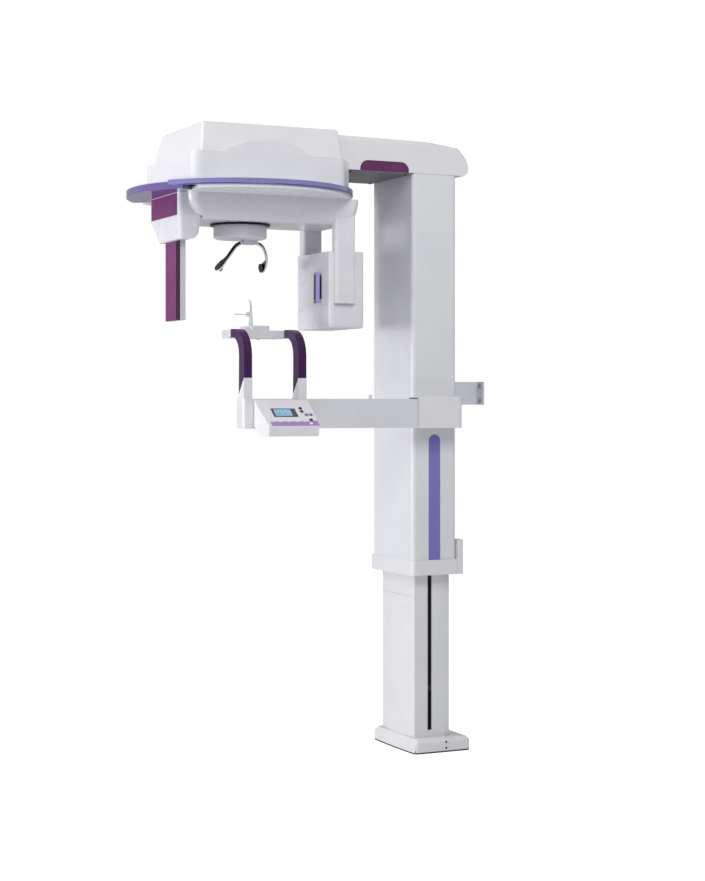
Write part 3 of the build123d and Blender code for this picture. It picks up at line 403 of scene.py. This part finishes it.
templeValues = {"hinge": (-12, -665, 1794), "hingeHalf": 18, "knuckleRadius": 5.6,
                "knuckle": ((0.8, -9.6), (1, -8.8), (1, 8.8), (0.8, 9.6)),
                "bodyWidth": 17, "bodyDepth": 6, "endThinning": 0.75, "skinWidth": 12.5, "skinDepth": 1.8,
                "paddleWidth": 36, "paddleSkin": 27, "neckEnd": 0.55, "paddleStart": 0.80,
                "turn": 0.7, "lean": 0.3, "skinStart": 6, "padPlace": 0.86, "padLong": 40, "padHigh": 33,
                "padProfile": ((0.3, 1), (0.3, -2.8), (0.9, -3.4), (1.0, -4.2), (1.0, -5.8), (0.95, -6.9),
                               (0.78, -7.8), (0.5, -8.4), (0.2, -8.6)),
                "route": ((0, 20, 0), (-1, 34, -5), (-2, 50, -15), (-10, 64, -36), (-24, 74, -56),
                          (-50, 80, -72), (-80, 83, -82), (-112, 84, -87))}
darkLacquer = mouldedPlastic("darkPlumLacquer", "#1C1020", "#150B19", 0.18, wear="#33213A", coat=0.15,
                             sheen=0.3)

def templeWidths(count, slim, broad):
    # even along the arm, then swelling into a round-ended paddle
    v = templeValues
    out = []
    for k in range(count):
        u = k / (count - 1)
        if u < v["neckEnd"]:
            width = slim
        elif u < v["paddleStart"]:
            t = (u - v["neckEnd"]) / (v["paddleStart"] - v["neckEnd"])
            width = slim + (broad - slim) * t * t * (3 - 2 * t)
        else:
            end = (u - v["paddleStart"]) / (1 - v["paddleStart"])
            width = broad * math.sqrt(max(0.02, 1 - end ** 2))
        out.append(width * mm)
    return out

def outward(line, k, away):
    # the way the arm's broad face looks at one point of its line
    ahead = (line[min(k + 1, len(line) - 1)] - line[max(k - 1, 0)]).normalized()
    return ahead.cross(Vector(away)).normalized().cross(ahead).normalized()

def makeTempleArm(side, label):
    v = templeValues
    body = "temple_" + label.lower()
    hx, hy, hz = v["hinge"]
    line = smoothLine([(mm * (hx + x), mm * (hy + side * y), mm * (hz + z)) for x, y, z in v["route"]])
    count = len(line)
    away = (v["turn"], side, v["lean"])
    halfDepth = v["bodyDepth"] * 0.5 * mm
    depths = [v["bodyDepth"] * mm * (1.0 if k < (count - 1) * 0.9 else v["endThinning"]) for k in range(count)]
    shell = sweep(line, templeWidths(count, v["bodyWidth"], v["paddleWidth"]), depths, away)
    knuckle = spin([(v["knuckleRadius"] * mm * f, h * mm) for f, h in v["knuckle"]],
                   (mm * hx, mm * (hy + side * v["hingeHalf"]), mm * hz), (1, 0, 0))
    arm = newPiece("templeArmBody" + label, *together(shell, knuckle), slotMaterials["temple_white"], body,
                   subdivide=1)
    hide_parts("temple_arm_" + label.lower())

    clear = slice(v["skinStart"], count - 1)    # the skins stop short of the hinge block
    widths = templeWidths(count, v["skinWidth"], v["paddleSkin"])[clear]
    skins = []
    for face in (-1, 1):
        lifted = [point + outward(line, k, away) * (face * halfDepth) for k, point in enumerate(line)]
        skins.append(sweep(lifted[clear], widths, [v["skinDepth"] * mm] * len(widths), away))
    skin = newPiece("templeArmSkin" + label, *together(*skins), darkLacquer, body, subdivide=1)

    seat = int((count - 1) * v["padPlace"])
    out = outward(line, seat, away)
    pad = spin([(0.5 * mm * f, h * mm) for f, h in v["padProfile"]], line[seat] - out * halfDepth, out,
               steps=36,
               squeeze=(v["padLong"], v["padHigh"]))
    tip = newPiece("templeTip" + label, *pad, slotMaterials["temple_dark"], body, subdivide=1)
    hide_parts("temple_pad_" + label.lower())

makeTempleArm(-1, "Right")
makeTempleArm(1, "Left")
print("temple arms made")

# bite post: a leaning fin with a hooked tip, a clamp and its thin lever

biteValues = {"foot": (0, -665, 1505), "spanSteps": 5,
              "spine": ((0, 0, 0), (0.5, 0, 22), (1.5, 0, 48), (0.5, 0, 70), (-5, 0, 82), (-14, 0, 86.5)),
              "across": (26, 17, 10, 7.5, 6.5, 5), "thick": (15, 11, 8, 6.5, 5.5, 4.2),
              "clampLow": (-26, -9, 1535), "clampHigh": (-5, 9, 1551), "clampCorner": 3.5,
              "leverPlace": (-16, -8.6, 1543), "leverRadius": 1.9,
              "lever": ((0.6, 0), (1, 0.8), (1, 36), (1.25, 38), (1.35, 46), (0.8, 48)),
              "tangLow": (-5, -4, 1490), "tangHigh": (5, 4, 1507), "tangCorner": 1.5}

def biteBlock(low, high, corner):
    middle = biteValues["foot"][1]
    lowest, highest = [[x * mm, (middle + y) * mm, z * mm] for x, y, z in (low, high)]
    return roundedBlock(lowest, highest, corner * mm)

def makeBitePost():
    v = biteValues
    fx, fy, fz = v["foot"]
    line = smoothLine([(mm * (fx + x), mm * (fy + y), mm * (fz + z)) for x, y, z in v["spine"]],
                      v["spanSteps"])
    spans = len(v["spine"]) - 1

    def along(sizes):
        out = []
        for k in range(len(line)):
            place = k / v["spanSteps"]
            first = min(int(place), spans - 1)
            out.append(mm * (sizes[first] + (sizes[first + 1] - sizes[first]) * (place - first)))
        return out

    fin = sweep(line, along(v["thick"]), along(v["across"]), (-1, 0, 0.05), squareness=2.3)
    clamp = biteBlock(v["clampLow"], v["clampHigh"], v["clampCorner"])
    lx, ly, lz = v["leverPlace"]
    lever = spin([(v["leverRadius"] * mm * f, h * mm) for f, h in v["lever"]],
                 (lx * mm, (fy + ly) * mm, lz * mm), (0, -1, 0), steps=16)
    tang = biteBlock(v["tangLow"], v["tangHigh"], v["tangCorner"])
    piece = newPiece("bitePostFin", *together(fin, clamp, lever, tang), slotMaterials["support_white"],
                     "bite",
                     subdivide=1)
    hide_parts("bite_post")

makeBitePost()
print("bite post made")

# small fixings, turned from profiles of (radius, height)

fixingValues = {"head": ((1.0, -0.3), (1.0, 0.25), (0.92, 0.42), (0.72, 0.52), (0.46, 0.55), (0.42, 0.30),
                         (0.1, 0.28)),
                "plateInset": 14, "plateRadius": 5.0, "baseY": 12, "farHeights": (15, 40),
                "nearHeights": (15, 36), "baseRadius": 3.6, "boltX": 134, "boltHeights": (1244, 1296),
                "boltRadius": 5.5, "knobY": -300, "knobRadius": 7,
                "knob": ((1, -0.5), (1, 2), (0.75, 4), (0.7, 7), (0.95, 9), (1, 12), (0.8, 13.5), (0.2, 14))}

def makeScrews(name, places, radiusMm, axis, slotName, body):
    profile = [(radiusMm * mm * r, radiusMm * mm * h) for r, h in fixingValues["head"]]
    parts = [spin(profile, [c * mm for c in place], axis, steps=18) for place in places]
    piece = newPiece(name, *together(*parts), slotMaterials[slotName], body)

def makeFixings():
    v = fixingValues
    low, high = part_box("underside_plate")
    inset = v["plateInset"]
    corners = [(side * (high.x / mm - inset), y, low.z / mm) for side in (-1, 1)
               for y in (low.y / mm + inset, high.y / mm - inset)]
    makeScrews("undersideScrews", corners, v["plateRadius"], (0, 0, -1), "black_plastic", "carriage")
    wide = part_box("base_front_cover")[1].x / mm
    makeScrews("baseScrews", [(-wide, v["baseY"], z) for z in v["farHeights"]], v["baseRadius"], (-1, 0, 0),
               "black_plastic", "root")
    makeScrews("baseScrewsNear", [(wide, v["baseY"], z) for z in v["nearHeights"]], v["baseRadius"],
               (1, 0, 0), "black_plastic", "root")
    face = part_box("bracket_washers")[0].y / mm
    for side, label in ((-1, "Far"), (1, "Near")):
        makeScrews("bracketBolts" + label, [(side * v["boltX"], face, z) for z in v["boltHeights"]],
                   v["boltRadius"], (0, -1, 0), "zinc_steel", "root")
    low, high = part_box("patient_arm")
    knob = spin([(v["knobRadius"] * mm * f, h * mm) for f, h in v["knob"]],
                (0.5 * (low.x + high.x), v["knobY"] * mm, high.z), (0, 0, 1))
    newPiece("armLockKnob", *knob, slotMaterials["panel_white"], "carriage")

makeFixings()
print("fixings made")

# trims of the rotating arm

ringValues = {"axisY": -705, "proud": 0.25, "thick": 1.2, "lift": 0.2, "height": 4.2, "lip": 0.4,
              "slope": 0.3,
              "gapDegrees": 31.4, "steps": 150}
slitValues = {"low": (38, -0.6, 1), "high": (69, 0.6, -0.2), "corner": 0.55}
collimatorValues = {"slotLow": (-7, -0.7, 7), "slotHigh": (7, 0.8, -7), "slotCorner": 6.5,
                    "edgeLow": (-0.5, -6.5, 14), "edgeHigh": (1.2, -0.6, -10), "edgeCorner": 1.0,
                    "footLow": (2, -0.8, -1.6), "footHigh": (6.5, 3, 6), "footCorner": 1.0, "footPitch": 8.0}
# painted shade: the dark lavender of the painted shadow line under the ring
paintedShadeLavender = mouldedPlastic("paintedShadeLavenderAbs", "#4C4A84", "#43417A", 0.2, wear="#605E9C", coat=0.6)

def makeRingPaintedShadeLine():
    # a glossy dark lavender band at the ring's foot: painted shade, standing for the shadow line under the ring
    v = ringValues
    low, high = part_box("ring_trim")
    outer = high.x + v["proud"] * mm
    inner = outer - v["thick"] * mm
    bottom = low.z + v["lift"] * mm
    top = low.z + v["height"] * mm
    section = ((inner, bottom), (outer, bottom), (outer, top - v["lip"] * mm),
               (outer - v["slope"] * mm, top),
               (inner, top))
    rings = []
    for k in range(v["steps"] + 1):
        angle = math.radians(-90 + v["gapDegrees"] + (360 - 2 * v["gapDegrees"]) * k / v["steps"])
        rings.append([Vector((math.cos(angle) * radius, v["axisY"] * mm + math.sin(angle) * radius, z))
                      for radius, z in section])
    line = newPiece("ringPaintedShadeLine", *joinRings(rings), paintedShadeLavender, "rotating_arm")

def offCorner(corner, offsets):
    # a corner moved by millimetres
    return [c + offset * mm for c, offset in zip(corner, offsets)]

def makeSlitStrip():
    v = slitValues
    low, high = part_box("sensor_face")
    strip = roundedBlock(offCorner((0, low.y, low.z), v["low"]), offCorner((0, low.y, high.z), v["high"]),
                         v["corner"] * mm)
    piece = newPiece("sensorSlitStrip", *strip, slotMaterials["black_plastic"], "rotating_arm", smooth=False)

def makeCollimatorTrims():
    v = collimatorValues
    low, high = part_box("collimator")
    middle = (low.x + high.x) / 2
    slot = roundedBlock(offCorner((middle, low.y, low.z), v["slotLow"]),
                        offCorner((middle, low.y, high.z), v["slotHigh"]), v["slotCorner"] * mm, "y")
    newPiece("collimatorSlot", *slot, slotMaterials["handle_plum"], "rotating_arm")
    edge = roundedBlock(offCorner((high.x, high.y, low.z), v["edgeLow"]),
                        offCorner((high.x, high.y, high.z), v["edgeHigh"]), v["edgeCorner"] * mm, "x")
    newPiece("collimatorEdge", *edge, slotMaterials["black_plastic"], "rotating_arm")
    feet = []
    for k in range(3):
        corner = (low.x + k * v["footPitch"] * mm, low.y, low.z)
        feet.append(roundedBlock(offCorner(corner, v["footLow"]), offCorner(corner, v["footHigh"]),
                                 v["footCorner"] * mm))
    newPiece("collimatorFeet", *together(*feet), slotMaterials["bronze_nut"], "rotating_arm")

makeRingPaintedShadeLine()
makeSlitStrip()
makeCollimatorTrims()
print("arm trims made")

# control panel: the display's picture and the mauve band

panelValues = {"start": (240, 1247), "end": (355, 1160), "picture": (53, 89, -701, -640), "pictureLift": 0.9,
               "pictureThick": 1.2, "band": (120, 143, -733, -562), "bandLift": 0.35, "bandThick": 1.0,
               "bandCorner": 3, "waveSteps": 40, "waveHeight": 2.0, "wavePace": 0.9, "calmFrom": 30, "calm": 0.3,
               "tabFrom": 33, "tabRise": 4}


def panelPoint(along, y, lift):
    (x0, z0), (x1, z1) = panelValues["start"], panelValues["end"]
    run = math.hypot(x1 - x0, z1 - z0)
    ux, uz = (x1 - x0) / run, (z1 - z0) / run
    return Vector(((x0 + ux * along - uz * lift) * mm, y * mm, (z0 + uz * along + ux * lift) * mm))


def panelPatch(name, outline, lift, thick, material):
    # a thin plate with the given outline of (along, y), lying on the panel face
    middle = (sum(p[0] for p in outline) / len(outline), sum(p[1] for p in outline) / len(outline))
    rings = []
    for inset, level in ((0, lift - thick), (0, lift - thick * 0.3), (0.3, lift)):
        ring = []
        for along, y in outline:
            away = Vector((along - middle[0], y - middle[1]))
            away = away - away.normalized() * inset
            ring.append(panelPoint(middle[0] + away.x, middle[1] + away.y, level))
        rings.append(ring)
    piece = newPiece(name, *joinRings(rings), material, "carriage", smooth=False)


def cornered(low, high, left, right, radius=2.0, steps=4):
    out = []
    for a, b, start in ((high - radius, right - radius, 0), (low + radius, right - radius, 90),
                        (low + radius, left + radius, 180), (high - radius, left + radius, 270)):
        for k in range(steps + 1):
            angle = math.radians(start + 90 * k / steps)
            out.append((a + math.cos(angle) * radius, b + math.sin(angle) * radius))
    return out


def displayFilm():
    # back-lit liquid crystal: pale blue, with rows of plain dark dashes 2.6 mm apart
    material, tree, shader, place = startMaterial("liquidCrystalFilm")
    rows = addNode(tree, "ShaderNodeTexWave", {"wave_type": "BANDS", "bands_direction": "X",
                                               "Scale": 1000 / 2.6 / 20, "Distortion": 0.0}, {"Vector": place})
    cells = addNode(tree, "ShaderNodeTexVoronoi", {"Scale": 1000 / 4.0, "Randomness": 1.0},
                    {"Vector": place})
    dash = addNode(tree, "ShaderNodeMath", {"operation": "GREATER_THAN"}, {0: cells.outputs["Color"]})
    dash.inputs[1].default_value = 0.55
    row = addNode(tree, "ShaderNodeMath", {"operation": "GREATER_THAN"}, {0: rows.outputs["Fac"]})
    row.inputs[1].default_value = 0.72
    marks = addNode(tree, "ShaderNodeMath", {"operation": "MULTIPLY"},
                    {0: dash.outputs[0], 1: row.outputs[0]})
    faint = addNode(tree, "ShaderNodeMath", {"operation": "MULTIPLY"}, {0: marks.outputs[0]})
    faint.inputs[1].default_value = 0.5
    colour = twoTone(tree, faint.outputs[0], "#8FBAD2", "#3A6184")
    tree.links.new(colour, shader.inputs["Base Color"])
    tree.links.new(colour, shader.inputs["Emission Color"])
    shader.inputs["Emission Strength"].default_value = 0.12
    shader.inputs["Roughness"].default_value = 0.25
    return material

def bandOutline():
    # wavy along its upper side, with a raised tab and a round corner at the right
    v = panelValues
    low, high, left, right = v["band"]
    corner = v["bandCorner"]
    out = []
    for k in range(v["waveSteps"] + 1):
        wave = v["waveHeight"] * math.sin(k * v["wavePace"]) * (1 if k < v["calmFrom"] else v["calm"])
        tab = v["tabRise"] if k > v["tabFrom"] else 0
        out.append((low + wave - tab, left + (right - left) * k / v["waveSteps"]))
    for k in range(6):
        angle = math.radians(18 * k)
        out.append((high - corner + corner * math.sin(angle), right - corner + corner * math.cos(angle)))
    out.append((high, left + corner))
    out.append((high - corner, left))
    return out

film = displayFilm()
bandFilm = mouldedPlastic("printedMauveFilm", "#AE8CC4", "#A582BC", 0.42, wear="#B99ACC")
panelPatch("displayPicture", cornered(*panelValues["picture"]), panelValues["pictureLift"],
           panelValues["pictureThick"], film)
panelPatch("mauveBand", bandOutline(), panelValues["bandLift"], panelValues["bandThick"], bandFilm)
print("panel dressed")

# floor, light and camera

stageValues = {"floorColour": "#FAFAFB", "floorSize": 60.0, "skyColour": "#FFFFFF", "skySeen": 1.02,
               "skyLight": 0.36, "floorGlow": 0.75, "floorDrop": 0.0005, "floorPatch": "#F2F2F5",
               "lights": (("keySoftbox", (-0.5, -3.9, 4.5), (0, -0.4, 1.2), (2.6, 2.2), 66),
                          ("sideSoftbox", (3.6, -0.8, 4.0), (0, -0.4, 1.7), (2.2, 2.0), 84),
                          ("lowFill", (-0.6, -4.8, 1.3), (0, -0.4, 1.7), (2.0, 1.0), 88))}
cameraValues = {"place": (5.853, -3.042, 1.246), "turn": (90, 0, 64.7), "lens": 74.4, "sensor": 36,
                "shift": -0.046, "clipEnd": 200}


def makeFloor():
    mesh = bpy.data.meshes.new("studioFloor")
    bm = bmesh.new()
    half = stageValues["floorSize"] / 2
    corners = [bm.verts.new((x * half, y * half, -stageValues["floorDrop"])) for x,
               y in ((-1, -1), (1, -1), (1, 1), (-1, 1))]
    bm.faces.new(corners)
    bm.to_mesh(mesh)
    bm.free()
    floor = bpy.data.objects.new("studioFloor", mesh)
    bpy.context.scene.collection.objects.link(floor)
    material, tree, shader, place = startMaterial("polishedFloorPaint")
    colour = twoTone(tree, stretch(tree, mottle(tree, place, 900), 0.0, 1.0), stageValues["floorColour"],
                     stageValues["floorPatch"])
    tree.links.new(colour, shader.inputs["Base Color"])
    tree.links.new(stretch(tree, mottle(tree, place, 60), 0.14, 0.2), shader.inputs["Roughness"])
    shader.inputs["Emission Color"].default_value = (1.0, 1.0, 1.0, 1.0)
    seen = addNode(tree, "ShaderNodeLightPath").outputs["Is Camera Ray"]
    glow = addNode(tree, "ShaderNodeMapRange", {"To Max": stageValues["floorGlow"]}, {"Value": seen})
    tree.links.new(glow.outputs["Result"], shader.inputs["Emission Strength"])
    mesh.materials.append(material)


def makeSky():
    world = bpy.data.worlds.new("studioSky")
    world.use_nodes = True
    tree = world.node_tree
    tree.nodes.clear()
    ray = addNode(tree, "ShaderNodeLightPath").outputs["Is Camera Ray"]
    power = addNode(tree, "ShaderNodeMapRange",
                    {"To Min": stageValues["skyLight"], "To Max": stageValues["skySeen"]},
                    {"Value": ray}).outputs["Result"]
    sky = addNode(tree, "ShaderNodeBackground", {"Color": hexToLinear(stageValues["skyColour"])},
                  {"Strength": power})
    addNode(tree, "ShaderNodeOutputWorld", links={"Surface": sky.outputs["Background"]})
    bpy.context.scene.world = world


def makeLight(name, place, target, size, power, colour="#FFFFFF"):
    data = bpy.data.lights.new(name, "AREA")
    data.shape = "RECTANGLE"
    data.size, data.size_y = size
    data.energy = power
    data.color = hexToLinear(colour)[:3]
    lamp = bpy.data.objects.new(name, data)
    lamp.location = place
    lamp.rotation_euler = (Vector(target) - Vector(place)).to_track_quat("-Z", "Y").to_euler()
    bpy.context.scene.collection.objects.link(lamp)


def makeCamera():
    data = bpy.data.cameras.new("studioCamera")
    data.sensor_width = cameraValues["sensor"]
    data.lens = cameraValues["lens"]
    data.shift_y = cameraValues["shift"]
    data.clip_end = cameraValues["clipEnd"]
    camera = bpy.data.objects.new("studioCamera", data)
    camera.location = cameraValues["place"]
    camera.rotation_euler = [math.radians(angle) for angle in cameraValues["turn"]]
    bpy.context.scene.collection.objects.link(camera)
    bpy.context.scene.camera = camera


makeFloor()
makeSky()
for lamp in stageValues["lights"]:
    makeLight(*lamp)
makeCamera()
bpy.context.scene.view_settings.view_transform = "Standard"
print("stage and camera made")
